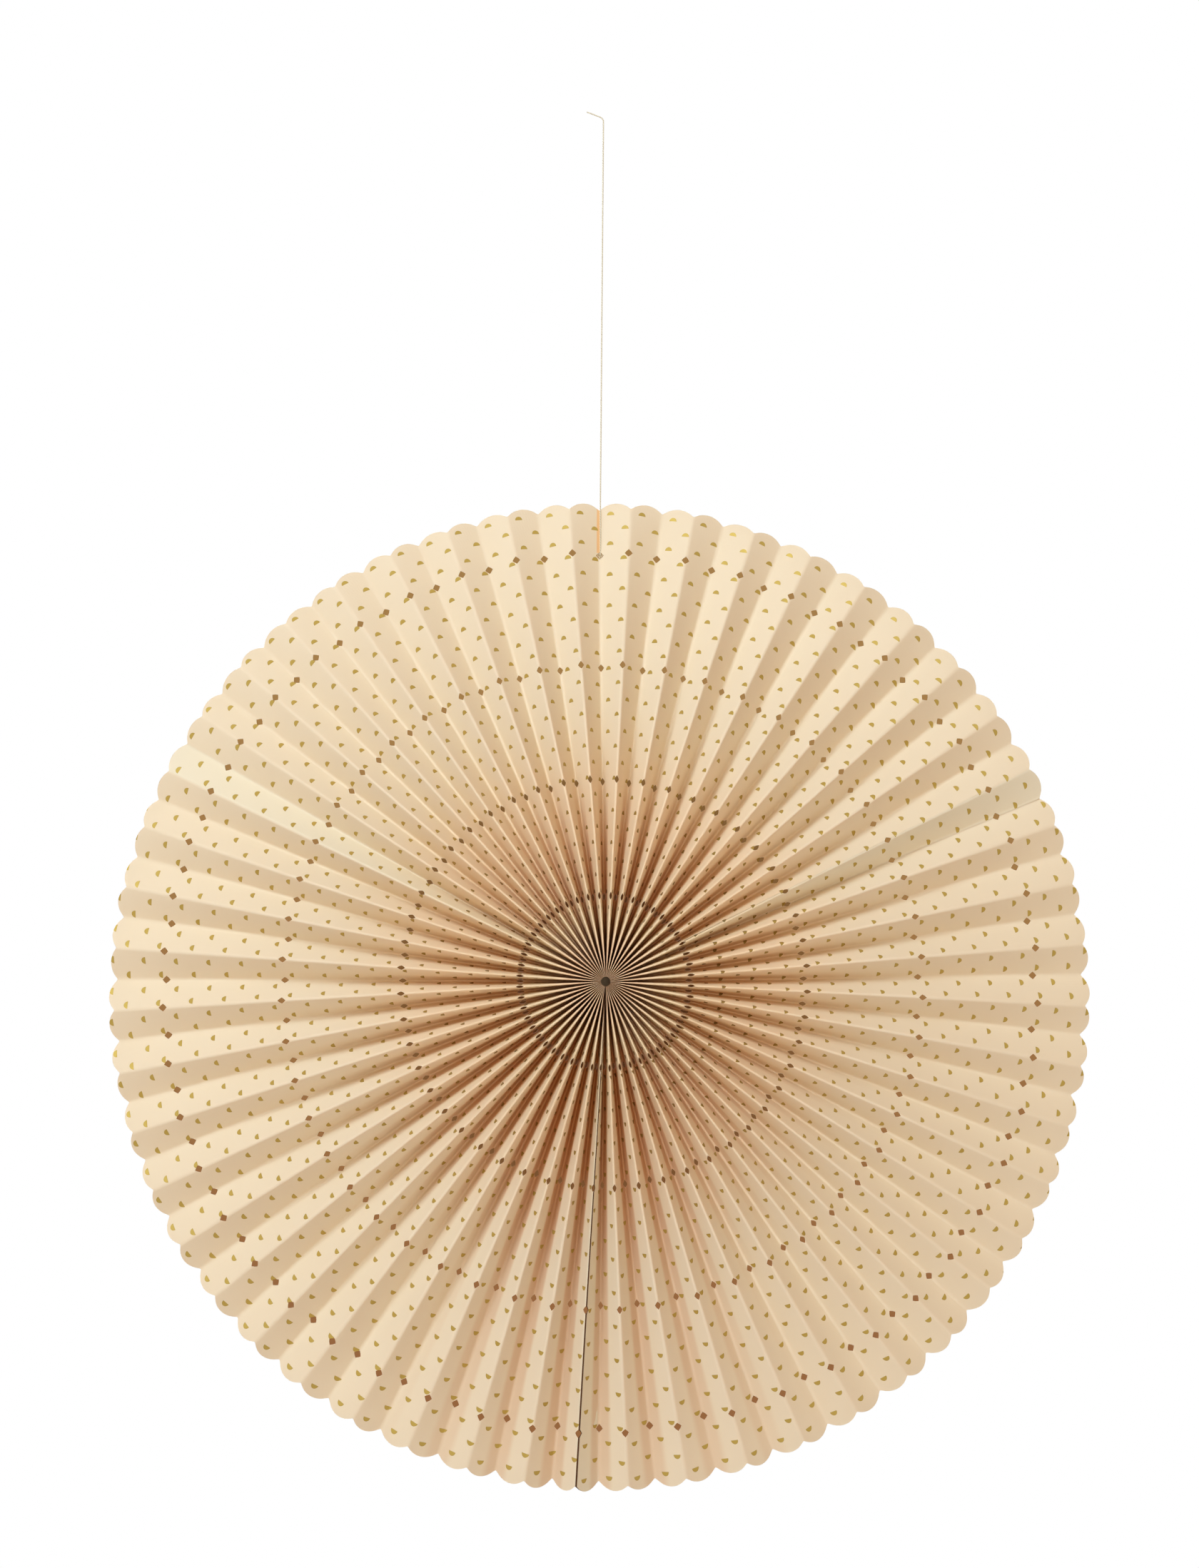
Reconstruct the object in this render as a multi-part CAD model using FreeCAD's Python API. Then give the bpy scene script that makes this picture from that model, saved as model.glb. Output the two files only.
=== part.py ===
"""Round paper fan rosette: three accordion-pleated strips opened into a full disc, on a hanging thread.

Millimetres. The disc stands upright in the XZ plane with its printed front towards -Y and +Z up.
The origin is on the hub's axis, halfway through the depth of the pleats. Folds are counted
anticlockwise from the bottom seam, seen from the front: even folds are crests, odd ones valleys.
"""
import FreeCAD
import Part
import math
import os
from FreeCAD import Vector

# Disc
crown_radius = 225.0        # hub centre to the crown of a scallop
crest_count = 50            # crests round the disc, with as many valleys between them
shallowest_rim_depth = 4.2  # front to back at the rim, where the pleats are opened widest
paper_thickness = 0.10
hub_slack = 1.04            # inner radius over that of the fully packed paper

# Spread of the pleats, in degrees
seam_azimuth = 267.0        # the bottom seam, anticlockwise from +X
sag_spread = 3.2            # how far the folds at the sides have slid down, widening the top
seam_squeeze = 1.0          # how far the folds beside the seam crowd towards it
squeeze_reach = 10.0

# Strips, in facets that show, and the cut of the free edge that shows at the seam
right_strip_facets = 33
top_strip_facets = 34
seam_edge_cut = 1.3         # trimmed off the right strip's first facet
lap_gap = 0.20              # between the two layers of a lap, along Y
adhesive_clearance = 0.02   # between the adhesive and each layer

# Punched holes, square ones standing on a corner, one ring of them across every fold
first_ring_radius = 39.0
ring_spacing = 53.5
ring_count = 4
hole_half_diagonal = 1.8

# Scalloped rim
scallop_depth = 3.1

# How finely the paper is laid out
hub_rungs = 3               # rows of corners between the hub and the first holes
scallop_segments = 4

# Hub patch on the back
patch_radius = 12.0
patch_thickness = 0.25
patch_clearance = 0.05

# Hanging thread
thread_diameter = 0.6
thread_clearance = 0.15
thread_rise = 215.5         # hole to the hanging point
tail_left = 8.0
tail_up = 3.1
thread_lean = 0.8           # how far right of its hole the thread's top is
kink_radius = 1.0           # at the hanging point
hole_bend_radius = 0.65     # where the thread turns up out of its hole
notch_bend_radius = 30.0    # where it leans on the edge of the rim's notch
knot_diameter = 3.2         # the stopper behind the hole

fold_count = 2 * crest_count
left_strip_facets = fold_count - right_strip_facets - top_strip_facets
ring_radii = [first_ring_radius + i * ring_spacing for i in range(ring_count)]
notch_radius = crown_radius - scallop_depth


def fold_azimuth(fold):
    """Where a fold lies round the disc, in degrees."""
    even = seam_azimuth + 360.0 * fold / fold_count
    from_seam = (even - seam_azimuth + 180.0) % 360.0 - 180.0
    reach = from_seam / squeeze_reach
    sag = sag_spread * (math.cos(math.radians(even)) - math.cos(math.radians(seam_azimuth)))
    return even - sag - seam_squeeze * reach * math.exp(1.0 - abs(reach))


def pitch(fold, radius):
    """Distance between neighbouring folds at a radius, seen from the front."""
    step = (fold_azimuth(fold + 1) - fold_azimuth(fold - 1)) / 2.0
    return 2.0 * radius * math.sin(math.radians(step) / 2.0)


widest_pitch = max(pitch(fold, crown_radius) for fold in range(fold_count))
closest_pitch = min(pitch(fold, crown_radius) for fold in range(fold_count))
pleat_width = math.hypot(widest_pitch, shallowest_rim_depth)
inner_radius = hub_slack * crown_radius * paper_thickness / closest_pitch


def is_crest(fold):
    return fold % 2 == 0


def pleat_depth(fold, radius):
    """Front to back of the pleats at a fold: the paper's width is fixed, so it deepens inwards."""
    return math.sqrt(pleat_width ** 2 - pitch(fold, radius) ** 2)


def skin_step(fold, radius):
    """Distance along Y between the two faces of a slanting facet of the paper's thickness."""
    across = pitch(fold, radius)
    deep = pleat_depth(fold, radius)
    squares = across ** 2 - paper_thickness ** 2
    root = math.sqrt((paper_thickness * deep) ** 2 + squares * (across ** 2 + deep ** 2))
    return paper_thickness * (root - paper_thickness * deep) / squares


def fold_point(fold, radius, skin, inner_layer):
    """A point on a fold line. skin is 0 on the front face and 1 on the back one."""
    step = skin_step(fold, radius)
    tuck = (step + lap_gap) * inner_layer
    if is_crest(fold):
        depth = -pleat_depth(fold, radius) / 2.0 + tuck + step * skin
    else:
        depth = pleat_depth(fold, radius) / 2.0 - tuck - step * (1 - skin)
    turn = math.radians(fold_azimuth(fold))
    return Vector(radius * math.cos(turn), depth, radius * math.sin(turn))


class Strip:
    """One pleated strip: its own facets, and one more that is lapped behind the next strip."""

    def __init__(self, first, facets, edge_cut=0.0):
        self.first = first
        self.last = first + facets
        self.edge_cut = edge_cut / pleat_width

    def inner_layer(self, fold):
        """1 where the fold lies inside another strip's fold, and 0 elsewhere."""
        opening = fold <= self.first + 1
        closing = fold >= self.last
        return int(opening and not is_crest(fold) or closing and is_crest(fold))

    def point(self, node, skin):
        """The place of a node (fold, share of the way to the next fold, radius)."""
        fold, share, radius = node
        start = fold_point(fold, radius, skin, self.inner_layer(fold))
        if share == 0.0:
            return start
        end = fold_point(fold + 1, radius, skin, self.inner_layer(fold + 1))
        return start + (end - start) * share

    def edge(self, fold):
        """The share at which the facet after this fold begins."""
        return self.edge_cut if fold == self.first else 0.0


def scallop_rise(share):
    """Height of the scallop's arc above its notches."""
    arc_radius = (pleat_width ** 2 / 4.0 + scallop_depth ** 2) / (2.0 * scallop_depth)
    off_centre = pleat_width * (share - 0.5)
    return math.sqrt(arc_radius ** 2 - off_centre ** 2) - (arc_radius - scallop_depth)


def facet_triangles(strip, fold):
    """The facet after a fold, laid out in triangles: rungs between its folds, then the scallop."""
    near = strip.edge(fold)
    hole = hole_half_diagonal / pleat_width
    rungs = []
    closeness = ((first_ring_radius - hole_half_diagonal) / inner_radius) ** (1.0 / hub_rungs)
    for i in range(hub_rungs):
        rungs.append((near, inner_radius * closeness ** i, 0.0))
    for radius in ring_radii:
        rungs.append((near, radius - hole_half_diagonal, 0.0))
        rungs.append((near, radius, hole))
        rungs.append((near, radius + hole_half_diagonal, 0.0))
    rungs.append((near, notch_radius + scallop_rise(near), 0.0))
    left = [(fold, start + cut, radius) for start, radius, cut in rungs]
    right = [(fold, 1.0 - cut, radius) if cut else (fold + 1, 0.0, radius) for _, radius, cut in rungs]
    right[-1] = (fold + 1, 0.0, notch_radius)
    triangles = []
    for i in range(len(rungs) - 1):
        if is_crest(fold):
            triangles.append((left[i], right[i], left[i + 1]))
            triangles.append((right[i], right[i + 1], left[i + 1]))
        else:
            triangles.append((left[i], right[i], right[i + 1]))
            triangles.append((left[i], right[i + 1], left[i + 1]))
    rim = [right[-1]]
    for i in range(scallop_segments - 1, 0, -1):
        share = near + (1.0 - near) * i / scallop_segments
        rim.append((fold, share, notch_radius + scallop_rise(share)))
    for start, end in zip(rim, rim[1:]):
        triangles.append((left[-1], start, end))
    return triangles


def solid_between(triangles, front, back):
    """The closed solid between two faces that are laid out in the same triangles."""
    faces = []
    edges = {}
    for corners in triangles:
        faces.append(flat_face([front(node) for node in corners]))
        faces.append(flat_face([back(node) for node in reversed(corners)]))
        for start, end in zip(corners, corners[1:] + corners[:1]):
            if (end, start) in edges:
                del edges[(end, start)]
            else:
                edges[(start, end)] = True
    for start, end in edges:
        faces.append(flat_face([front(end), front(start), back(start), back(end)]))
    shell = Part.makeShell(faces)
    shell.sewShape()
    solid = Part.Solid(shell)
    if solid.Volume < 0.0:
        solid.reverse()
    return solid


def flat_face(points):
    return Part.Face(Part.makePolygon(points + points[:1]))


def pleated_strip(strip):
    triangles = []
    for fold in range(strip.first, strip.last + 1):
        triangles += facet_triangles(strip, fold)
    return solid_between(triangles, lambda node: strip.point(node, 0), lambda node: strip.point(node, 1))


def lap_adhesive(outer, inner):
    """Adhesive patches in a lap, one between each two rings of holes."""
    fold = inner.last
    start = fold % fold_count
    share = adhesive_clearance / lap_gap

    def layer(node, depth):
        far = (node[0] + fold - start, node[1], node[2])
        front_paper = outer.point(node, 1)
        back_paper = inner.point(far, 0)
        return front_paper + (back_paper - front_paper) * depth

    near = outer.edge(start)
    patches = []
    for radius in ring_radii[:-1]:
        low = radius + hole_half_diagonal
        high = radius + ring_spacing - hole_half_diagonal
        left = [(start, near, low), (start, near, high)]
        right = [(start + 1, 0.0, low), (start + 1, 0.0, high)]
        if is_crest(start):
            triangles = [(left[0], right[0], left[1]), (right[0], right[1], left[1])]
        else:
            triangles = [(left[0], right[0], right[1]), (left[0], right[1], left[1])]
        patches.append(solid_between(
            triangles,
            lambda node: layer(node, share),
            lambda node: layer(node, 1.0 - share)))
    return Part.makeCompound(patches)


def hub_patch():
    """Round paper patch that holds the inner folds together on the back."""
    deepest = max(pleat_depth(fold, inner_radius) for fold in range(fold_count))
    front = Vector(0, deepest / 2.0 + patch_clearance, 0)
    return Part.makeCylinder(patch_radius, patch_thickness, front, Vector(0, 1, 0))


def rounded_path(points, radii):
    """Straight runs joined by tangent arcs, as one wire."""
    edges = []
    start = points[0]
    for before, corner, after, radius in zip(points, points[1:], points[2:], radii):
        back = (before - corner).normalize()
        on = (after - corner).normalize()
        half = back.getAngle(on) / 2.0
        reach = radius / math.tan(half)
        first = corner + back * reach
        last = corner + on * reach
        middle = corner + (back + on).normalize() * (radius / math.sin(half) - radius)
        edges.append(Part.LineSegment(start, first).toShape())
        edges.append(Part.Arc(first, middle, last).toShape())
        start = last
    edges.append(Part.LineSegment(start, points[-1]).toShape())
    return Part.Wire(edges)


def tube(path, diameter):
    """A round solid along a path."""
    start = path.Edges[0]
    ring = Part.makeCircle(diameter / 2.0, start.valueAt(start.FirstParameter),
                           start.tangentAt(start.FirstParameter))
    return path.makePipeShell([Part.Wire(ring)], True, True)


top_fold = min(range(1, fold_count, 2), key=lambda fold: abs(fold_azimuth(fold) - 450.0))
thread_hole = fold_point(top_fold, ring_radii[-1], 0, 0)
thread_notch = fold_point(top_fold, notch_radius, 0, 0)
stand_off = Vector(0, thread_diameter / 2.0 + thread_clearance, 0)
knot_centre = Vector(thread_hole.x, 0, thread_hole.z) + Vector(
    0, thread_hole.y + skin_step(top_fold, ring_radii[-1]) + thread_clearance + knot_diameter / 2.0, 0)
knot_flat = knot_centre - Vector(0, knot_diameter / 2.0 - thread_clearance, 0)
thread_top = thread_hole - stand_off + Vector(thread_lean, thread_notch.y - thread_hole.y, thread_rise)


def thread_route():
    """The thread's points: knot, out of the hole, over the rim's notch, hanging point, tail end."""
    bend = thread_hole - stand_off + Vector(0, 0, thread_diameter / 2.0)
    notch = thread_notch - stand_off
    tail = thread_top + Vector(-tail_left, 0, tail_up)
    return [Vector(bend.x, knot_flat.y, bend.z), bend, notch, thread_top, tail]


def hanging_thread():
    route = thread_route()
    radii = [hole_bend_radius, notch_bend_radius, kink_radius]
    path = rounded_path(route, radii)
    solid = tube(path, thread_diameter)
    section = math.pi * thread_diameter ** 2 / 4.0
    print("thread length", round(path.Length, 2), "radii", radii)
    print("thread volume", round(solid.Volume, 3), "section x length", round(section * path.Length, 3))
    print("thread route", [tuple(round(value, 2) for value in point) for point in route])
    return solid


def stopper_knot():
    """Knot behind the hole, flat where the thread comes out of it."""
    ball = Part.makeSphere(knot_diameter / 2.0, knot_centre)
    slab = Part.makeBox(knot_diameter, knot_diameter, knot_diameter,
                        knot_flat - Vector(knot_diameter / 2.0, knot_diameter, knot_diameter / 2.0))
    return ball.cut(slab)


def main():
    right = Strip(0, right_strip_facets, seam_edge_cut)
    top = Strip(right.last, top_strip_facets)
    left = Strip(top.last, left_strip_facets)
    parts = {
        "pleated_strip_right": pleated_strip(right),
        "pleated_strip_top": pleated_strip(top),
        "pleated_strip_left": pleated_strip(left),
        "lap_adhesive_right": lap_adhesive(top, right),
        "lap_adhesive_top": lap_adhesive(left, top),
        "lap_adhesive_left": lap_adhesive(right, left),
        "hub_patch": hub_patch(),
        "hanging_thread": hanging_thread(),
        "stopper_knot": stopper_knot(),
    }
    os.makedirs("parts", exist_ok=True)
    for name, shape in parts.items():
        shape.exportStep("parts/" + name + ".step")
        print(name, "valid", shape.isValid(), "volume", round(shape.Volume, 2), "faces", len(shape.Faces))
    print("pleat width", round(pleat_width, 3), "inner radius", round(inner_radius, 3))


main()
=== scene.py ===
import bpy
import bmesh
import math
from mathutils import Vector, Matrix


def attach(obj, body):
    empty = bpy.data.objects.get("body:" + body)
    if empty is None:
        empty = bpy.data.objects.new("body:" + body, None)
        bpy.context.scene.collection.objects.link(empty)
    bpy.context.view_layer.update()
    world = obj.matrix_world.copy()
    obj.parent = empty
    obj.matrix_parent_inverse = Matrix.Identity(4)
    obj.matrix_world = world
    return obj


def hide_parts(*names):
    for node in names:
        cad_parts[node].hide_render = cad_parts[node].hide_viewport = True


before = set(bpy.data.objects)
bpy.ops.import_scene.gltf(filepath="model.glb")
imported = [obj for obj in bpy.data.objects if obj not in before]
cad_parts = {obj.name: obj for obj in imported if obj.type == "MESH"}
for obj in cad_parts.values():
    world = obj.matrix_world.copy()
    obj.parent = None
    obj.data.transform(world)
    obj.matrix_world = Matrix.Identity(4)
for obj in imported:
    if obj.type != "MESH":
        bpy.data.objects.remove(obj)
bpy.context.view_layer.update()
mm = 0.001


class Wire:
    # a socket that reads like a number in an expression
    def __init__(self, tree, socket):
        self.tree = tree
        self.socket = socket

    def maths(self, kind, *values):
        return addNode(self.tree, "ShaderNodeMath", {"operation": kind}, values)

    def __add__(self, other):
        return self.maths("ADD", self, other)

    def __radd__(self, other):
        return self.maths("ADD", other, self)

    def __sub__(self, other):
        return self.maths("SUBTRACT", self, other)

    def __rsub__(self, other):
        return self.maths("SUBTRACT", other, self)

    def __mul__(self, other):
        return self.maths("MULTIPLY", self, other)

    def __rmul__(self, other):
        return self.maths("MULTIPLY", other, self)

    def __truediv__(self, other):
        return self.maths("DIVIDE", self, other)

    def __rtruediv__(self, other):
        return self.maths("DIVIDE", other, self)

    def __pow__(self, other):
        return self.maths("POWER", self, other)

    def __lt__(self, other):
        return self.maths("LESS_THAN", self, other)

    def __gt__(self, other):
        return self.maths("GREATER_THAN", self, other)

    def __mod__(self, other):
        return self.maths("FLOORED_MODULO", self, other)

    def root(self):
        return self.maths("SQRT", self)

    def floor(self):
        return self.maths("FLOOR", self)

    def size(self):
        return self.maths("ABSOLUTE", self)

    def sine(self):
        return self.maths("SINE", self)

    def cosine(self):
        return self.maths("COSINE", self)

    def exponent(self):
        return self.maths("EXPONENT", self)

    def least(self, other):
        return self.maths("MINIMUM", self, other)

    def most(self, other):
        return self.maths("MAXIMUM", self, other)

    def wrapped(self, half):
        return self.maths("WRAP", self, half, -half)

    def rise(self, low, high):
        # 0 below low, 1 above high and smooth between; turned over when low is above high
        return addNode(self.tree, "ShaderNodeMapRange", {"interpolation_type": "SMOOTHSTEP"},
                       {"Value": self, "From Min": low, "From Max": high})


def addNode(tree, kind, settings=None, inputs=(), output=0):
    # settings come first, because they change which sockets a node has
    node = tree.nodes.new(kind)
    for name, value in (settings or {}).items():
        setattr(node, name, value)
    pairs = inputs.items() if isinstance(inputs, dict) else enumerate(inputs)
    for key, value in pairs:
        socket = node.inputs[key]
        if isinstance(value, Wire):
            tree.links.new(value.socket, socket)
        else:
            socket.default_value = value
    return Wire(tree, node.outputs[output])


def otherOutput(wire, name):
    return Wire(wire.tree, wire.socket.node.outputs[name])


def distance(across, up):
    return (across * across + up * up).root()


# Camera, as fitted to the photo's folds and holes
view = {
    "place": (-26 * mm, -800 * mm, 5 * mm),
    "turnRight": 1.73, "lookUp": 6.10, "roll": 0.17,   # degrees
    "focalPixels": 2433.2, "frameHeight": 2197,
    "sensorHeight": 24.0,
}


def makeCamera():
    data = bpy.data.cameras.new("camera")
    data.sensor_fit = "VERTICAL"
    data.sensor_height = view["sensorHeight"]
    data.lens = view["focalPixels"] * view["sensorHeight"] / view["frameHeight"]
    camera = bpy.data.objects.new("camera", data)
    turn = Matrix.Rotation(math.radians(-view["turnRight"]), 4, "Z")
    tilt = Matrix.Rotation(math.radians(90.0 + view["lookUp"]), 4, "X")
    roll = Matrix.Rotation(math.radians(view["roll"]), 4, "Z")
    camera.matrix_world = Matrix.Translation(view["place"]) @ turn @ tilt @ roll
    bpy.context.scene.collection.objects.link(camera)
    bpy.context.scene.camera = camera


makeCamera()
print("camera placed")

# Hanging thread: the route in mm is the CAD's, from the stopper knot out of the hole and up
thread = {
    "diameter": 0.6 * mm,
    "length": 0.2243,               # metres
    "order": 3, "roundSteps": 3, "lengthSteps": 12,
    "route": [(-1.62, 4.34, 199.79), (-1.62, 3.47, 199.79), (-1.80, 1.88, 221.89),
              (-1.76, 1.88, 225.50), (-0.84, 1.88, 411.40), (-0.82, 1.88, 414.99),
              (-4.40, 1.88, 416.40), (-8.82, 1.88, 418.09)],
}


def makeThread():
    data = bpy.data.curves.new("hangingThread", "CURVE")
    data.dimensions = "3D"
    data.bevel_depth = thread["diameter"] / 2
    data.bevel_resolution = thread["roundSteps"]
    data.resolution_u = thread["lengthSteps"]
    data.render_resolution_u = thread["lengthSteps"]
    data.use_fill_caps = True
    spline = data.splines.new("NURBS")
    spline.points.add(len(thread["route"]) - 1)
    for point, place in zip(spline.points, thread["route"]):
        point.co = (place[0] * mm, place[1] * mm, place[2] * mm, 1.0)
    spline.order_u = thread["order"]
    spline.use_endpoint_u = True
    piece = bpy.data.objects.new("hangingThread", data)
    bpy.context.scene.collection.objects.link(piece)
    return piece


threadPiece = makeThread()

# Stopper knot behind the hole, tied in the same thread
knot = {
    "centre": (-1.62 * mm, 5.85 * mm, 199.79 * mm),
    "size": 0.42 * mm, "depth": 1.6,        # depth as a share of the size
    "points": 48, "order": 4, "lengthSteps": 6,
}


def makeKnot():
    data = bpy.data.curves.new("stopperKnot", "CURVE")
    data.dimensions = "3D"
    data.bevel_depth = thread["diameter"] / 2
    data.bevel_resolution = thread["roundSteps"]
    data.resolution_u = knot["lengthSteps"]
    spline = data.splines.new("NURBS")
    spline.points.add(knot["points"] - 1)
    for i, point in enumerate(spline.points):
        turn = 2 * math.pi * i / knot["points"]
        across = math.sin(turn) + 2 * math.sin(2 * turn)
        up = math.cos(turn) - 2 * math.cos(2 * turn)
        back = -knot["depth"] * math.sin(3 * turn)
        offset = Vector((across, back, up)) * knot["size"]
        point.co = (*(Vector(knot["centre"]) + offset), 1.0)
    spline.order_u = knot["order"]
    spline.use_cyclic_u = True
    piece = bpy.data.objects.new("stopperKnot", data)
    bpy.context.scene.collection.objects.link(piece)
    return piece


knotPiece = makeKnot()
print("thread laid and knotted")

# The pleated paper. A flat facet is drawn once; the nodes repeat it into a strip and fold it open.
paper = {
    "crownRadius": 225.0 * mm, "scallopDepth": 3.1 * mm, "thickness": 0.10 * mm,
    "shallowestRim": 4.2 * mm, "hubSlack": 1.04,
    "folds": 100, "closest": 1.01,          # least pitch of the folds, in thicknesses
    "seamAzimuth": 267.0, "sagSpread": 3.2, "seamSqueeze": 1.0, "squeezeReach": 10.0,   # degrees
    "holeRings": [(39.0 + 53.5 * i) * mm for i in range(4)], "holeHalf": 1.8 * mm,
    "lapGap": 0.20 * mm,
    "foldRounding": 0.022,                  # share of a facet's width
    "bendWidth": 0.36 * mm, "widestBend": 0.30,
    # the seam's free edge stands back, less and less over the first two fifths of the facet
    "seamCut": 0.75 * mm, "cutFade": 2.5,
    "slitHalf": 0.44 * mm, "slitRadius": 6.5 * mm, "slitReach": 5.0 * mm, "slitDecay": -0.7,
    "azimuthJitter": 0.12, "depthJitter": 0.25 * mm, "rimJitter": 0.35 * mm, "rimPower": 3.0,
    "seed": 5, "depthSeed": 7, "azimuthSeed": 3, "rimSeed": 11,
    "hubDrift": (1.1 * mm, -0.4 * mm), "driftReach": 120 * mm,
    "trimAzimuth": 105.0, "trimSwing": 1.0 * mm, "trimMean": 0.45 * mm, "trimPower": 20.0,
}
# How one facet is divided. Across, in roundings beside a fold and then in shares of the width. Out,
# up to the first ring of holes, over a hole in half holes, and from one ring to the next in shares.
facetGrid = {
    "besideFold": (0.0, 0.5, 1.2, 2.6), "midway": (0.13, 0.22, 0.32, 0.41),
    "hubRows": 12, "hubClearance": 3, "overHole": (-1.0, -0.5, 0.0, 0.5, 1.0),
    "betweenRings": (0.12, 0.25, 0.38, 0.5, 0.62, 0.75, 0.88),
    "scallopRows": 4,
    "weld": 1e-5, "nudge": 0.00001, "lapMargin": 0.0001,
}
strips = {
    "pleatedStripRight": {"node": "pleated_strip_right", "first": 0, "facets": 33,
                          "cut": paper["seamCut"]},
    "pleatedStripTop": {"node": "pleated_strip_top", "first": 33, "facets": 34, "cut": 0.0},
    "pleatedStripLeft": {"node": "pleated_strip_left", "first": 67, "facets": 33, "cut": 0.0},
}


def foldAzimuth(fold):
    even = paper["seamAzimuth"] + 360.0 * fold / paper["folds"]
    reach = ((even - paper["seamAzimuth"] + 180.0) % 360.0 - 180.0) / paper["squeezeReach"]
    seam = math.cos(math.radians(paper["seamAzimuth"]))
    sag = paper["sagSpread"] * (math.cos(math.radians(even)) - seam)
    return even - sag - paper["seamSqueeze"] * reach * math.exp(1.0 - abs(reach))


def foldPitch(fold, radius):
    step = (foldAzimuth(fold + 1) - foldAzimuth(fold - 1)) / 2
    return 2 * radius * math.sin(math.radians(step) / 2)


rimPitches = [foldPitch(fold, paper["crownRadius"]) for fold in range(paper["folds"])]
pleatWidth = math.hypot(max(rimPitches), paper["shallowestRim"])
innerRadius = paper["hubSlack"] * paper["crownRadius"] * paper["thickness"] / min(rimPitches)
notchRadius = paper["crownRadius"] - paper["scallopDepth"]


def scallopRise(share):
    depth = paper["scallopDepth"]
    arcRadius = (pleatWidth ** 2 / 4 + depth ** 2) / (2 * depth)
    return math.sqrt(arcRadius ** 2 - (pleatWidth * (share - 0.5)) ** 2) - (arcRadius - depth)


def flatFacet():
    # across is the share of the facet's width, and each row is a radius
    rounding = paper["foldRounding"]
    nearFold = [step * rounding for step in facetGrid["besideFold"]] + list(facetGrid["midway"])
    across = nearFold + [0.5] + [1.0 - share for share in reversed(nearFold)]
    rings, half, count = paper["holeRings"], paper["holeHalf"], facetGrid["hubRows"]
    rows = [innerRadius * (rings[0] / innerRadius) ** (i / count) for i in range(count)]
    rows = [radius for radius in rows if radius < rings[0] - facetGrid["hubClearance"] * half]
    for ring, nextRing in zip(rings, rings[1:] + [notchRadius]):
        rows += [ring + half * step for step in facetGrid["overHole"]]
        gap = nextRing - ring
        rows += [ring + gap * step for step in facetGrid["betweenRings"]]
    rows += [notchRadius]
    rimStart = rows[-facetGrid["scallopRows"]]
    mesh = bmesh.new()
    grid = []
    for radius in rows:
        cut = max([0.0] + [half - abs(radius - ring) for ring in rings]) / pleatWidth
        towardsRim = max(0.0, (radius - rimStart) / (notchRadius - rimStart))
        line = []
        for share in across:
            place = cut + (1 - 2 * cut) * share
            line.append(mesh.verts.new((place, 0.0, radius + scallopRise(place) * towardsRim)))
        grid.append(line)
    for low, high in zip(grid, grid[1:]):
        for i in range(len(across) - 1):
            mesh.faces.new((low[i], low[i + 1], high[i + 1], high[i]))
    data = bpy.data.meshes.new("flatFacet")
    mesh.to_mesh(data)
    mesh.free()
    return data


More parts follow.
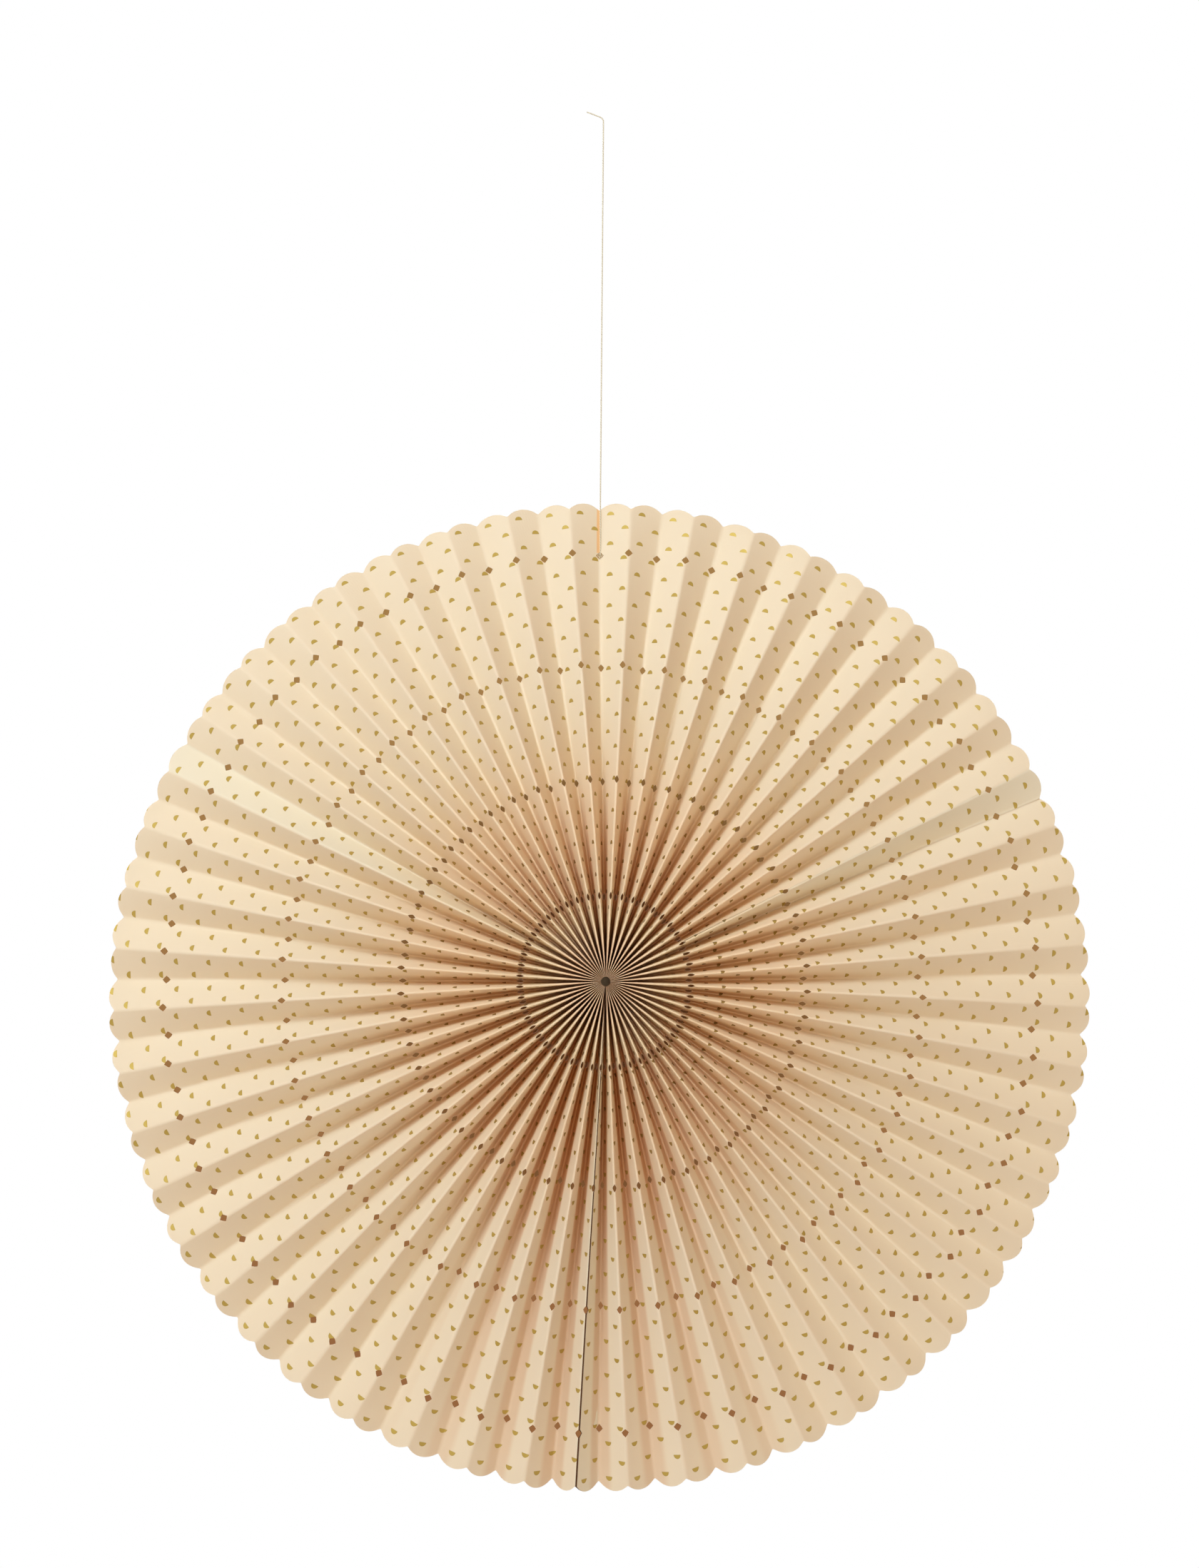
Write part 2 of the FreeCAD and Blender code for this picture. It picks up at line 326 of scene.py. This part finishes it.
def foldingTree():
    tree = bpy.data.node_groups.new("openTheFan", "GeometryNodeTree")
    tree.interface.new_socket("Geometry", in_out="OUTPUT", socket_type="NodeSocketGeometry")
    tree.interface.new_socket("Geometry", in_out="INPUT", socket_type="NodeSocketGeometry")
    for name, kind in (("First Fold", "Float"), ("Facets", "Int"), ("Edge Cut", "Float"),
                       ("Print Across", "Vector"), ("Print Out", "Vector"),
                       ("Pleat Width", "Float"), ("Paper Thickness", "Float"), ("Lap Gap", "Float"),
                       ("Crown Radius", "Float"), ("Seed", "Int"), ("Material", "Material")):
        tree.interface.new_socket(name, in_out="INPUT", socket_type="NodeSocket" + kind)
    given = tree.nodes.new("NodeGroupInput")

    def take(name):
        return Wire(tree, given.outputs[name])

    def node(kind, settings=None, inputs=(), output=0):
        return addNode(tree, kind, settings, inputs, output)

    first, width, thick = take("First Fold"), take("Pleat Width"), take("Paper Thickness")
    crown = take("Crown Radius")
    last = first + take("Facets")

    # a row of facets in the flat, one more than shows, welded along its folds
    begin = node("ShaderNodeCombineXYZ", None, {"X": first})
    row = node("GeometryNodeMeshLine", None,
               {"Count": take("Facets") + 1.0, "Start Location": begin, "Offset": (1.0, 0.0, 0.0)})
    copies = node("GeometryNodeInstanceOnPoints", None,
                  {"Points": row, "Instance": take("Geometry")})
    flat = node("GeometryNodeRealizeInstances", None, {"Geometry": copies})
    flat = node("GeometryNodeMergeByDistance", None,
                {"Geometry": flat, "Distance": facetGrid["weld"]})
    raised = node("GeometryNodeExtrudeMesh", {"mode": "FACES"},
                  {"Mesh": flat, "Offset Scale": 1.0, "Individual": False})
    under = node("GeometryNodeFlipFaces", None, {"Mesh": flat})
    slab = node("GeometryNodeJoinGeometry")
    for part in (under, raised):
        tree.links.new(part.socket, slab.socket.node.inputs[0])
    slab = node("GeometryNodeMergeByDistance", None,
                {"Geometry": slab, "Distance": facetGrid["weld"]})

    place = node("GeometryNodeInputPosition")
    split = node("ShaderNodeSeparateXYZ", None, [place])
    # the extrusion goes towards -Y, so the front skin is 0 and the back skin is 1
    along, skin, out = split, otherOutput(split, "Y") + 1.0, otherOutput(split, "Z")
    fade = (1.0 - (along - first) * paper["cutFade"]).most(0.0)
    along = along + fade * take("Edge Cut") / width
    fold = (along + facetGrid["nudge"]).floor()
    share = along - fold
    reachOut = out / crown

    def randomOf(number, low, high, seed):
        # a random decimal number has its limits at 2 and 3 and comes out at 1
        return node("FunctionNodeRandomValue", {"data_type": "FLOAT"},
                    {2: low, 3: high, "ID": number % float(paper["folds"]),
                     "Seed": take("Seed") + float(seed)}, 1)

    degree = math.radians(1.0)
    seamCosine = math.cos(math.radians(paper["seamAzimuth"]))
    halfWay = paper["folds"] / 2.0
    degreesPerFold = 360.0 / paper["folds"]

    def fromSeam(number):
        return (number + halfWay) % float(paper["folds"]) - halfWay

    def azimuthOf(number):
        # in degrees: evenly round, then slid down, then crowded towards the seam
        even = number * degreesPerFold + paper["seamAzimuth"]
        reach = fromSeam(number) * (degreesPerFold / paper["squeezeReach"])
        sag = (even * degree).cosine() - seamCosine
        crowd = reach * (1.0 - reach.size()).exponent()
        return even - paper["sagSpread"] * sag - paper["seamSqueeze"] * crowd

    around = {step: azimuthOf(fold + float(step)) for step in (-1, 0, 1, 2)}

    def foldPoint(step):
        number = fold + float(step)
        isCrest = 1.0 - (number + 0.5).floor() % 2.0
        opening = number < first + 1.5
        closing = number > last - 0.5
        inner = opening * (1.0 - isCrest) + closing * isCrest
        spread = (around[step + 1] - around[step - 1]) * math.radians(0.25)
        pitch = (out * 2.0 * spread.sine()).most(thick * paper["closest"])
        deep = (width * width - pitch * pitch).root()
        squares = pitch * pitch - thick * thick
        inside = (thick * deep) ** 2.0 + squares * (pitch * pitch + deep * deep)
        stepBack = thick * (inside.root() - thick * deep) / squares
        tuck = (stepBack + take("Lap Gap")) * inner
        swing, wander = paper["depthJitter"], paper["azimuthJitter"]
        uneven = randomOf(number, -swing, swing, paper["depthSeed"]) * reachOut
        depth = (1.0 - isCrest * 2.0) * (deep * 0.5 - tuck)
        depth = depth + stepBack * (skin - (1.0 - isCrest)) + uneven
        turn = around[step] + randomOf(number, -wander, wander, paper["azimuthSeed"]) * reachOut
        turn = turn * degree
        return out * turn.cosine(), depth, out * turn.sine()

    start, end = foldPoint(0), foldPoint(1)
    steepness = -1.0 / paper["foldRounding"]
    atStart, atEnd = (share * steepness).exponent(), ((1.0 - share) * steepness).exponent()
    soft = share + paper["foldRounding"] * (atStart - atEnd)
    facetOut = randomOf(fold, -paper["rimJitter"], paper["rimJitter"], paper["rimSeed"])
    arch = share * (1.0 - share) * 4.0
    lengthen = 1.0 + facetOut * (reachOut ** paper["rimPower"]) * arch / crown
    # the rim is trimmed a little closer at the upper left
    towards = ((around[0] - paper["trimAzimuth"]) * degree).cosine()
    trim = towards * paper["trimSwing"] + paper["trimMean"]
    lengthen = lengthen - trim * (reachOut ** paper["trimPower"]) / crown
    # a fold is a narrow bend, which shows most where the pleats are closest
    facetPitch = out * (around[1] - around[0]) * degree
    bend = (paper["bendWidth"] / facetPitch).least(paper["widestBend"])
    level = share * (1.0 - bend * 2.0) + bend * (1.0 - atStart + atEnd)
    # the hub sits a little off the middle, and the open seam gapes beside it
    near = ((out / paper["driftReach"]) ** 2.0 * -1.0).exponent()
    fromSlit = (out - paper["slitRadius"]) / paper["slitReach"]
    sinceSeam = fromSeam(along)
    slitShare = (fromSlit * fromSlit * -1.0).exponent()
    gape = slitShare * (sinceSeam.size() * paper["slitDecay"]).exponent() * paper["slitHalf"]
    gape = gape * (1.0 - (along > last)) * ((sinceSeam > 0.0) * 2.0 - 1.0)
    x = (start[0] + (end[0] - start[0]) * level) * lengthen + near * paper["hubDrift"][0] + gape
    y = start[1] + (end[1] - start[1]) * soft
    z = (start[2] + (end[2] - start[2]) * level) * lengthen + near * paper["hubDrift"][1]
    folded = node("ShaderNodeCombineXYZ", None, {"X": x, "Y": y, "Z": z})

    # where each point lies in the print, kept before the paper is folded
    inFlat = node("ShaderNodeCombineXYZ", None,
                  {"X": (along - first) * width, "Y": out, "Z": 1.0})

    def alongPrint(name):
        made = node("ShaderNodeVectorMath", {"operation": "DOT_PRODUCT"}, [inFlat, take(name)])
        return otherOutput(made, "Value")

    sheet = node("ShaderNodeCombineXYZ", None,
                 {"X": alongPrint("Print Across"), "Y": alongPrint("Print Out")})
    # 1 on the facet that covers a lap and 2 on the lap itself
    margin = facetGrid["lapMargin"]
    lapped = (along < first + (1.0 + margin)).most((along > last - margin) * 2.0)
    for name, kind, domain, value in (("sheet", "FLOAT2", "CORNER", sheet),
                                      ("skin", "FLOAT", "POINT", skin),
                                      ("lapped", "FLOAT", "FACE", lapped)):
        slab = node("GeometryNodeStoreNamedAttribute", {"data_type": kind, "domain": domain},
                    {"Geometry": slab, "Name": name, "Value": value})
    slab = node("GeometryNodeSetPosition", None, {"Geometry": slab, "Position": folded})
    slab = node("GeometryNodeSetMaterial", None, {"Geometry": slab, "Material": take("Material")})
    end = tree.nodes.new("NodeGroupOutput")
    tree.links.new(slab.socket, end.inputs[0])
    return tree


def setInput(modifier, name, value):
    sockets = modifier.node_group.interface.items_tree
    modifier[next(s.identifier for s in sockets if s.name == name and s.in_out == "INPUT")] = value


def settle(piece):
    # the piece keeps its evaluated shape as a plain mesh, and its modifiers go
    graph = bpy.context.evaluated_depsgraph_get()
    made = bpy.data.meshes.new_from_object(piece.evaluated_get(graph))
    made.name = piece.name
    piece.modifiers.clear()
    piece.data = made


def makeStrip(name, strip, facet, tree, material):
    piece = bpy.data.objects.new(name, facet)
    bpy.context.scene.collection.objects.link(piece)
    modifier = piece.modifiers.new("openTheFan", "NODES")
    modifier.node_group = tree
    for key, value in (("First Fold", float(strip["first"])), ("Facets", strip["facets"]),
                       ("Edge Cut", strip["cut"]), ("Print Across", strip["printAcross"]),
                       ("Print Out", strip["printOut"]),
                       ("Pleat Width", pleatWidth), ("Paper Thickness", paper["thickness"]),
                       ("Lap Gap", paper["lapGap"]), ("Crown Radius", paper["crownRadius"]),
                       ("Seed", paper["seed"]), ("Material", material)):
        setInput(modifier, key, value)
    settle(piece)
    mesh = bmesh.new()
    mesh.from_mesh(piece.data)
    bmesh.ops.recalc_face_normals(mesh, faces=mesh.faces)
    mesh.to_mesh(piece.data)
    mesh.free()
    for face in piece.data.polygons:
        face.use_smooth = False
    print(name, len(piece.data.polygons), "faces")
    return piece


# The print: a lattice of half circles, each with its dome outwards. Every strip was cut from its
# own part of the sheet, so it takes the lattice at its own slant and with its own shift.
pattern = {
    "column": 7.75 * mm, "rowStep": 14.8 * mm, "dotRadius": 1.85 * mm, "dotFoot": 0.78 * mm,
    "edge": 0.06 * mm,
}
strips["pleatedStripRight"].update(printAcross=(1.00208, -0.02145, -0.82 * mm),
                                   printOut=(0.01076, 1.00440, 0.69 * mm))
strips["pleatedStripTop"].update(printAcross=(0.99621, 0.00283, -1.95 * mm),
                                 printOut=(-0.00938, 0.99472, -1.47 * mm))
strips["pleatedStripLeft"].update(printAcross=(0.99782, -0.01808, 6.30 * mm),
                                  printOut=(0.01498, 0.99861, 3.77 * mm))


def newMaterial(name):
    material = bpy.data.materials.new(name)
    material.use_nodes = True
    tree = material.node_tree
    tree.nodes.clear()
    return material, tree


def finishWith(tree, shader):
    end = tree.nodes.new("ShaderNodeOutputMaterial")
    tree.links.new(shader.socket, end.inputs["Surface"])


def mixColour(tree, share, low, high):
    # a colour mixer has its share at 0 and its colours at 6 and 7, and gives the mixed one at 2
    return addNode(tree, "ShaderNodeMix", {"data_type": "RGBA"}, {0: share, 6: low, 7: high}, 2)


paperLook = {
    "light": (0.94, 0.86, 0.695, 1.0), "warm": (0.92, 0.835, 0.665, 1.0),
    "paintedLightNearHub": (1.0, 0.85, 0.61, 1.0), "paintedWarmLightAtHub": (0.97, 0.71, 0.49, 1.0),
    "paintedShadeInHub": (0.17, 0.055, 0.018, 1.0), "grooveShade": (0.56, 0.205, 0.035, 1.0),
    "paintedShadeInLap": (0.11, 0.045, 0.018, 1.0), "beside": (0.96, 0.62, 0.32, 1.0),
    "foilLight": (0.57, 0.405, 0.10, 1.0), "foilDark": (0.46, 0.31, 0.06, 1.0),
    "foilShadeNearHub": (0.26, 0.14, 0.03, 1.0), "glow": (1.0, 0.64, 0.30, 1.0),
    "cloudScale": 60.0, "cloudDetail": 4.0,
    "fibreScale": 900.0, "fibreDetail": 5.0, "fibreRoughness": 0.7,
    "roughness": 0.82, "specular": 0.25, "bump": 0.15, "bumpHeight": 0.05 * mm,
    "foilMetal": 0.3, "foilPolish": 0.3, "foilFlatness": 0.8,
    # distances from the hub from where a tone starts to where it is full
    "paintedLightNearHubFrom": (140 * mm, 30 * mm), "paintedWarmLightAtHubFrom": (34 * mm, 8 * mm),
    "paintedShadeInHubFrom": (36 * mm, 12 * mm), "foilShadeNearHubFrom": (120 * mm, 30 * mm),
    "dotsFrom": (26 * mm, 36 * mm),
    "grooveAbove": (105 * mm, 10 * mm), "grooveBelow": (160 * mm, 15 * mm),
    "grooveBeneath": (420 * mm, 60 * mm),
    # heights as a share of the distance from the hub
    "belowFrom": (0.7, -0.9), "beneathFrom": (-0.86, -1.0), "beneathShare": 0.5,
    # how far down in a pleat a groove's painted shade starts, and what is added near the hub and
    # the rim
    "grooveDepth": (1.0 * mm, 7.6 * mm), "grooveSteepness": 3.0,
    "hubFloor": (32 * mm, 9 * mm), "hubFloorDepth": 17 * mm,
    "rimFloor": (120 * mm, 225 * mm), "rimFloorDepth": 1.2 * mm,
    "alongLight": 165.0, "alongLightShare": 0.7,        # degrees
    "grooveShadeShare": 0.94, "paintedShadeInHubShare": 0.85,
    "stripePlace": (-2.55 * mm, 211.0 * mm), "stripeHalf": (0.85 * mm, 10.5 * mm),
    "seeThrough": 0.17, "lappedLoss": 0.5,
    "hubSeeThrough": (45 * mm, 12 * mm), "hubLoss": 0.9,
    "midSeeThrough": (135 * mm, 60 * mm), "midGain": 0.4,
}


def paperMaterial(name, printed):
    material, tree = newMaterial(name)

    def node(kind, settings=None, inputs=(), output=0):
        return addNode(tree, kind, settings, inputs, output)

    def attribute(name, kind):
        return node("ShaderNodeAttribute", {"attribute_name": name}, (), kind)

    look = paperLook
    place = otherOutput(node("ShaderNodeTexCoord"), "Object")
    cloud = node("ShaderNodeTexNoise", None,
                 {"Vector": place, "Scale": look["cloudScale"], "Detail": look["cloudDetail"]})
    fibre = node("ShaderNodeTexNoise", None,
                 {"Vector": place, "Scale": look["fibreScale"], "Detail": look["fibreDetail"],
                  "Roughness": look["fibreRoughness"]})
    colour = mixColour(tree, cloud, look["light"], look["warm"])
    height, metal, rough = fibre, 0.0, look["roughness"]
    if printed:
        # painted light and shade near the hub, where the folds close: the paper is painted lighter
        # and warmer towards the hub and warmer still at it, and painted shade lies down in the
        # grooves
        skin = attribute("skin", "Fac")
        where = node("ShaderNodeSeparateXYZ", None, [place])
        back, high = otherOutput(where, "Y"), otherOutput(where, "Z")
        away = distance(where, high)
        colour = mixColour(tree, away.rise(*look["paintedLightNearHubFrom"]), colour, look["paintedLightNearHub"])
        colour = mixColour(tree, away.rise(*look["paintedWarmLightAtHubFrom"]), colour, look["paintedWarmLightAtHub"])
        # the grooves that run along the key light are open to it, and those below are in shade
        slant = math.radians(look["alongLight"])
        aligned = (where * math.cos(slant) + high * math.sin(slant)) / away
        below = (high / away).rise(*look["belowFrom"])
        beneath = (high / away).rise(*look["beneathFrom"])
        reach = (away.rise(*look["grooveBelow"]) * below
                 + away.rise(*look["grooveAbove"]) * (1.0 - below))
        reach = reach + ((1.0 - reach) * beneath * away.rise(*look["grooveBeneath"])
                         * look["beneathShare"])
        floorward = (away.rise(*look["hubFloor"]) * look["hubFloorDepth"]
                     + away.rise(*look["rimFloor"]) * look["rimFloorDepth"])
        steepness = look["grooveSteepness"]
        depth = back * (steepness - skin * (2.0 * steepness)) + floorward
        deep = depth.rise(*look["grooveDepth"]) * reach
        deep = deep * (1.0 - aligned * aligned * look["alongLightShare"])
        # painted shade down in the grooves
        colour = mixColour(tree, deep * look["grooveShadeShare"], colour, look["grooveShade"])
        # darker painted shade down in the grooves inside the hub
        paintedShadeInHub = deep * away.rise(*look["paintedShadeInHubFrom"]) * look["paintedShadeInHubShare"]
        colour = mixColour(tree, paintedShadeInHub, colour, look["paintedShadeInHub"])
        # a painted warm glow in a stripe along the valley fold beside the thread
        (stripeX, stripeZ), (halfX, halfZ) = look["stripePlace"], look["stripeHalf"]
        beside = ((where - stripeX).size() < halfX) * ((high - stripeZ).size() < halfZ)
        colour = mixColour(tree, beside * (1.0 - skin), colour, look["beside"])

        split = node("ShaderNodeSeparateXYZ", None, [attribute("sheet", "Vector")])
        across, out = split, otherOutput(split, "Y")
        column, halfRow, edge = pattern["column"], pattern["rowStep"] / 2, pattern["edge"]
        dot = None
        for sideways, upwards in ((0.0, 0.0), (column, halfRow)):
            dx = (across + sideways).wrapped(column)
            dy = (out + upwards + pattern["dotFoot"]).wrapped(halfRow)
            inside = distance(dx, dy).rise(pattern["dotRadius"] + edge, pattern["dotRadius"] - edge)
            half = inside * dy.rise(-edge, edge)
            dot = half if dot is None else dot.most(half)
        facing = otherOutput(node("ShaderNodeNewGeometry"), "Backfacing")
        dot = dot * (skin < 0.5) * (1.0 - facing) * away.rise(*look["dotsFrom"])
        foil = mixColour(tree, cloud, look["foilDark"], look["foilLight"])
        # the foil takes painted shade near the hub
        foil = mixColour(tree, away.rise(*look["foilShadeNearHubFrom"]), foil, look["foilShadeNearHub"])
        colour = mixColour(tree, dot, colour, foil)
        # painted shade on the front of the lap itself, where it shows through the gap at the seam
        lapped = attribute("lapped", "Fac")
        colour = mixColour(tree, (lapped > 1.5) * (1.0 - skin), colour, look["paintedShadeInLap"])
        metal = dot * look["foilMetal"]
        rough = look["roughness"] - dot * look["foilPolish"]
        height = fibre * (1.0 - dot * look["foilFlatness"])
        see = (1.0 - dot) * (1.0 - lapped * look["lappedLoss"])
        see = see * (1.0 - away.rise(*look["hubSeeThrough"]) * look["hubLoss"])
        see = see * (1.0 + away.rise(*look["midSeeThrough"]) * look["midGain"])
        see = see * look["seeThrough"]
    bump = node("ShaderNodeBump", None,
                {"Strength": look["bump"], "Distance": look["bumpHeight"], "Height": height})
    shader = node("ShaderNodeBsdfPrincipled", None,
                  {"Base Color": colour, "Metallic": metal, "Roughness": rough, "Normal": bump,
                   "Specular IOR Level": look["specular"]})
    if printed:
        # the paper lets a little of the light behind it through
        glow = node("ShaderNodeBsdfTranslucent", None, {"Color": look["glow"]})
        shader = node("ShaderNodeMixShader", None, [see, shader, glow])
    finishWith(tree, shader)
    return material


threadLook = {
    "dark": (0.62, 0.56, 0.42, 1.0), "pale": (0.80, 0.75, 0.62, 1.0),
    "twist": 5200.0,                # radians to the metre
    "bump": 0.5, "bumpHeight": 0.1 * mm, "roughness": 0.6,
}


def threadMaterial():
    material, tree = newMaterial("twistedThread")
    place = otherOutput(addNode(tree, "ShaderNodeTexCoord"), "Object")
    split = addNode(tree, "ShaderNodeSeparateXYZ", None, [place])
    across, up = split, otherOutput(split, "Z")
    twist = (up * threadLook["twist"] + across * threadLook["twist"]).sine() * 0.5 + 0.5
    colour = mixColour(tree, twist, threadLook["dark"], threadLook["pale"])
    bump = addNode(tree, "ShaderNodeBump", None,
                   {"Strength": threadLook["bump"], "Distance": threadLook["bumpHeight"],
                    "Height": twist})
    shader = addNode(tree, "ShaderNodeBsdfPrincipled", None,
                     {"Base Color": colour, "Roughness": threadLook["roughness"], "Normal": bump})
    finishWith(tree, shader)
    return material


filmLook = {
    "dark": (0.80, 0.74, 0.60, 1.0), "pale": (0.88, 0.82, 0.68, 1.0),
    "cloudScale": 300.0, "roughness": 0.35,
}


def adhesiveMaterial():
    material, tree = newMaterial("adhesiveFilm")
    place = otherOutput(addNode(tree, "ShaderNodeTexCoord"), "Object")
    cloud = addNode(tree, "ShaderNodeTexNoise", None,
                    {"Vector": place, "Scale": filmLook["cloudScale"]})
    colour = mixColour(tree, cloud, filmLook["dark"], filmLook["pale"])
    shader = addNode(tree, "ShaderNodeBsdfPrincipled", None,
                     {"Base Color": colour, "Roughness": filmLook["roughness"]})
    finishWith(tree, shader)
    return material


printedPaper = paperMaterial("printedPaper", True)
plainPaper = paperMaterial("plainPaper", False)
threadCloth = threadMaterial()
adhesiveFilm = adhesiveMaterial()
print("materials made")

facet = flatFacet()
tree = foldingTree()
for name, strip in strips.items():
    piece = makeStrip(name, strip, facet, tree, printedPaper)
    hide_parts(strip["node"])
    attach(piece, "root")

for piece, nodeName in ((threadPiece, "hanging_thread"), (knotPiece, "stopper_knot")):
    piece.data.materials.append(threadCloth)
    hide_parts(nodeName)
    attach(piece, "root")


def finishNode(nodeName, material):
    piece = bpy.data.objects[nodeName]
    piece.data.materials.clear()
    piece.data.materials.append(material)


for nodeName in ("lap_adhesive_right", "lap_adhesive_top", "lap_adhesive_left"):
    finishNode(nodeName, adhesiveFilm)
finishNode("hub_patch", plainPaper)

# Backdrop close behind the disc, seen only from the front, which lights and shades nothing, and a
# pale floor
white = (1.0, 1.0, 1.0, 1.0)
stage = {
    "backdropDepth": 10 * mm, "half": 4.0, "floorHeight": -0.62,
    "shadeRadius": 206 * mm, "shade": (0.37, 0.205, 0.07, 1.0),
    "hubShade": (0.08, 0.028, 0.008, 1.0), "hubShadeReach": (40 * mm, 150 * mm),
    "lowShade": (0.30, 0.13, 0.05, 1.0), "lowShadeFrom": (150 * mm, -190 * mm),
    "floorColour": (0.83, 0.86, 0.90, 1.0), "floorCloud": (0.85, 0.875, 0.91, 1.0),
    "cloudScale": 3.0, "roughness": 0.9, "specular": 0.1,
    "whiteNear": 0.65, "whiteFrom": (0.4, 1.5),
}


def stageSheet(name, corners, material):
    data = bpy.data.meshes.new(name)
    data.from_pydata(corners, [], [tuple(range(len(corners)))])
    data.materials.append(material)
    sheet = bpy.data.objects.new(name, data)
    bpy.context.scene.collection.objects.link(sheet)


def seenByCamera(tree):
    # straight, or by way of a shiny or a clear surface
    path = addNode(tree, "ShaderNodeLightPath")
    mirrored = otherOutput(path, "Is Glossy Ray")
    return path.most(mirrored).most(otherOutput(path, "Is Transmission Ray"))


def backdropMaterial():
    # white round the disc, and behind it a painted shade that glows brown, darker near the hub and
    # towards the bottom, where the punched holes look through the pleats
    material, tree = newMaterial("paleBackdrop")

    def node(kind, settings=None, inputs=(), output=0):
        return addNode(tree, kind, settings, inputs, output)

    place = node("ShaderNodeSeparateXYZ", None, [otherOutput(node("ShaderNodeTexCoord"), "Object")])
    high = otherOutput(place, "Z")
    away = distance(place, high)
    tones = (stage["hubShade"], stage["shade"], stage["lowShade"], white)
    dark, brown, deeper, pale = (
        node("ShaderNodeEmission", None, {"Color": tone, "Strength": 1.0}) for tone in tones)
    low, near = high.rise(*stage["lowShadeFrom"]), away.rise(*stage["hubShadeReach"])
    shade = node("ShaderNodeMixShader", None, [low, brown, deeper])
    shade = node("ShaderNodeMixShader", None, [near, dark, shade])
    shade = node("ShaderNodeMixShader", None, [away > stage["shadeRadius"], shade, pale])
    facing = otherOutput(node("ShaderNodeNewGeometry"), "Backfacing")
    clear = node("ShaderNodeBsdfTransparent")
    seen = seenByCamera(tree) * (1.0 - facing)
    finishWith(tree, node("ShaderNodeMixShader", None, [seen, clear, shade]))
    return material


def floorMaterial():
    material, tree = newMaterial("paleFloor")
    place = otherOutput(addNode(tree, "ShaderNodeTexCoord"), "Object")
    cloud = addNode(tree, "ShaderNodeTexNoise", None,
                    {"Vector": place, "Scale": stage["cloudScale"]})
    colour = mixColour(tree, cloud, stage["floorColour"], stage["floorCloud"])
    plain = addNode(tree, "ShaderNodeBsdfPrincipled", None,
                    {"Base Color": colour, "Roughness": stage["roughness"],
                     "Specular IOR Level": stage["specular"]})
    pale = addNode(tree, "ShaderNodeEmission", None, {"Color": white, "Strength": 1.0})
    # partly its own shade under the disc, so that the shadow stays on it, and white far off
    split = addNode(tree, "ShaderNodeSeparateXYZ", None, [place])
    far = distance(split, otherOutput(split, "Y")).rise(*stage["whiteFrom"])
    share = stage["whiteNear"] + far * (1.0 - stage["whiteNear"])
    finishWith(tree, addNode(tree, "ShaderNodeMixShader", None,
                             [seenByCamera(tree) * share, plain, pale]))
    return material


wide, deep, low = stage["half"], stage["backdropDepth"], stage["floorHeight"]
stageSheet("backdrop", [(-wide, deep, low), (wide, deep, low), (wide, deep, wide),
                        (-wide, deep, wide)], backdropMaterial())
stageSheet("floor", [(-wide, -wide, low), (wide, -wide, low), (wide, wide, low),
                     (-wide, wide, low)], floorMaterial())

# Lamps, round and aimed at the hub, with their widths in metres and their powers in watts
lamps = {
    "keyLight": {"place": (-0.52, -0.95, 0.72), "size": 0.5, "power": 10.4,
                 "colour": (0.76, 0.92, 1.0)},
    "fillLight": {"place": (0.1, -1.8, 0.1), "size": 1.2, "power": 3.8,
                  "colour": (1.0, 0.88, 0.72)},
    "backLight": {"place": (0.0, 1.8, 0.2), "size": 1.8, "power": 22.0,
                  "colour": (1.0, 0.99, 0.97)},
}


def makeLight(name, values):
    data = bpy.data.lights.new(name, "AREA")
    data.shape = "DISK"
    data.size = values["size"]
    data.energy = values["power"]
    data.color = values["colour"]
    lamp = bpy.data.objects.new(name, data)
    lamp.location = values["place"]
    towardsHub = Vector((0.0, 0.0, 0.0)) - Vector(values["place"])
    lamp.rotation_euler = towardsHub.to_track_quat("-Z", "Y").to_euler()
    bpy.context.scene.collection.objects.link(lamp)


for name, values in lamps.items():
    makeLight(name, values)

# The room's own light, and plain white where the camera looks past everything
room = {"colour": (1.0, 0.70, 0.44, 1.0), "strength": 0.45}


def makeWorld():
    world = bpy.data.worlds.new("softRoom")
    bpy.context.scene.world = world
    world.use_nodes = True
    tree = world.node_tree
    tree.nodes.clear()
    soft = addNode(tree, "ShaderNodeBackground", None,
                   {"Color": room["colour"], "Strength": room["strength"]})
    pale = addNode(tree, "ShaderNodeBackground", None, {"Color": white, "Strength": 1.0})
    both = addNode(tree, "ShaderNodeMixShader", None, [seenByCamera(tree), soft, pale])
    end = tree.nodes.new("ShaderNodeOutputWorld")
    tree.links.new(both.socket, end.inputs["Surface"])


makeWorld()
bpy.context.scene.view_settings.view_transform = "Standard"
print("stage and lights set")
